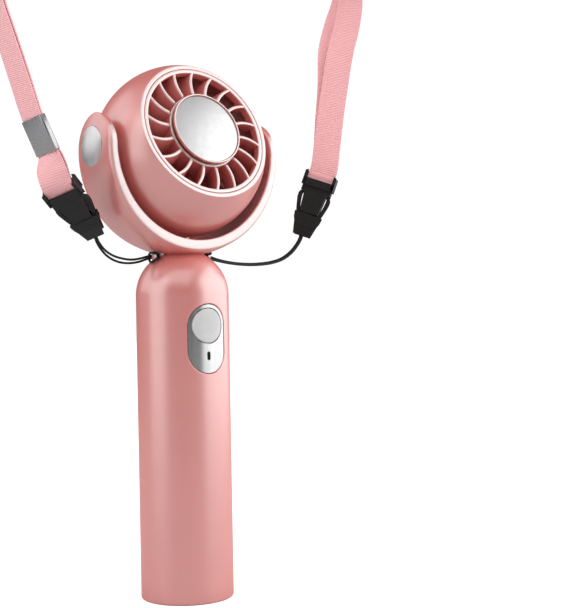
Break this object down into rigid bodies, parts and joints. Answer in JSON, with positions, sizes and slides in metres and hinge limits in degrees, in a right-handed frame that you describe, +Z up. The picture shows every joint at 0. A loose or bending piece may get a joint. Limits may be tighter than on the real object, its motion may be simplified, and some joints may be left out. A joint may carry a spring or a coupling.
{
  "type": "handheld fan",
  "caption": "Handheld electric fan: a ball head with a radial vane grille tilts in a yoke on a cylindrical grip, with a ribbon neck lanyard on side-release buckles.",
  "frame": {"origin": "the inside top of the lanyard loop, above the tilt axis, where the fan hangs from a neck or a hook", "axes": "+Z up along the grip's axis, -Y the way the fan blows (turned up 20 degrees at rest), +X along the tilt axis to the fan's left as it faces -Y, which is the right of a person who looks at the grille"},
  "size_m": [0.1521, 0.0539, 0.2538],
  "materials": {
    "pink_shell": "satin",
    "pink_trim": "satin",
    "silver": "satin",
    "button_grey": "satin",
    "steel": "plain",
    "black_plastic": "satin",
    "board_green": "satin",
    "cell_wrap": "gloss",
    "foam": "matt",
    "white_plastic": "satin",
    "lens": "gloss",
    "foot_rubber": "matt",
    "ribbon": "ribbed weave",
    "cord": "braided",
    "port_steel": "plain"
  },
  "bodies": {
    "fan_body": {"grip_shell": "pink_shell", "base_cap": "pink_trim", "foot_pad": "foot_rubber", "charging_port": "port_steel", "port_board": "board_green", "battery_cell": "cell_wrap", "battery_sleeve": "foam", "circuit_board": "board_green", "board_bracket": "white_plastic", "board_screws": "steel", "tact_switch": "black_plastic", "indicator_led": "white_plastic", "control_panel": "silver", "indicator_lens": "lens", "yoke": "pink_shell", "stem_nut": "steel", "pivot_cap_left": "silver", "pivot_cap_right": "silver", "buckle_socket_left": "black_plastic", "buckle_socket_right": "black_plastic", "buckle_plug_left": "black_plastic", "buckle_plug_right": "black_plastic", "crimp": "silver", "strap_inner": "ribbon", "strap_outer": "ribbon", "buckle_ribbon": "ribbon", "attachment_cord_left": "cord", "attachment_cord_right": "cord"},
    "head": {"pivot_pin_left": "steel", "pivot_pin_right": "steel", "pivot_screw_left": "steel", "pivot_screw_right": "steel", "friction_washer_left": "white_plastic", "friction_washer_right": "white_plastic", "head_shell_front": "pink_shell", "head_shell_rear": "pink_shell", "head_screws": "steel", "grille": "pink_shell", "hub_cap": "pink_shell", "centre_disc": "silver", "motor_can": "steel", "motor_screws": "steel"},
    "impeller": {"motor_shaft": "steel", "impeller": "pink_trim", "shaft_clip": "steel"},
    "button": {"power_button": "button_grey"},
    "prong_left_a": {"prong_left_a": "black_plastic"},
    "prong_left_b": {"prong_left_b": "black_plastic"},
    "prong_right_a": {"prong_right_a": "black_plastic"},
    "prong_right_b": {"prong_right_b": "black_plastic"}
  },
  "joints": [
    {"name": "head_tilt", "type": "hinge", "parent": "fan_body", "child": "head", "pos_m": [0, 0, -0.0988], "axis": [1, 0, 0], "range_deg": [-70, 110]},
    {"name": "impeller_spin", "type": "hinge", "parent": "head", "child": "impeller", "pos_m": [0, 0, -0.0988], "axis": [0, -0.9397, 0.342], "continuous": true},
    {"name": "power_press", "type": "slide", "parent": "fan_body", "child": "button", "axis": [0, 1, 0], "range_m": [0, 0.0005], "stiffness_N_per_m": 600, "springref_m": -0.001},
    {"name": "prong_left_a_squeeze", "type": "hinge", "parent": "fan_body", "child": "prong_left_a", "pos_m": [-0.03923, 0.00361, -0.12414], "axis": [0.3577, 0.6195, 0.6988], "range_deg": [0, 4], "stiffness_Nm_per_rad": 0.05, "springref_deg": -1.15},
    {"name": "prong_left_b_squeeze", "type": "hinge", "parent": "fan_body", "child": "prong_left_b", "pos_m": [-0.035, -0.00165, -0.12164], "axis": [-0.3577, -0.6195, -0.6988], "range_deg": [0, 4], "stiffness_Nm_per_rad": 0.05, "springref_deg": -1.15},
    {"name": "prong_right_a_squeeze", "type": "hinge", "parent": "fan_body", "child": "prong_right_a", "pos_m": [0.05434, 0.00315, -0.11845], "axis": [0.7172, 0.6926, -0.0778], "range_deg": [0, 4], "stiffness_Nm_per_rad": 0.05, "springref_deg": -1.15},
    {"name": "prong_right_b_squeeze", "type": "hinge", "parent": "fan_body", "child": "prong_right_b", "pos_m": [0.05891, -0.00185, -0.12086], "axis": [-0.7172, -0.6926, 0.0778], "range_deg": [0, 4], "stiffness_Nm_per_rad": 0.05, "springref_deg": -1.15}
  ]
}
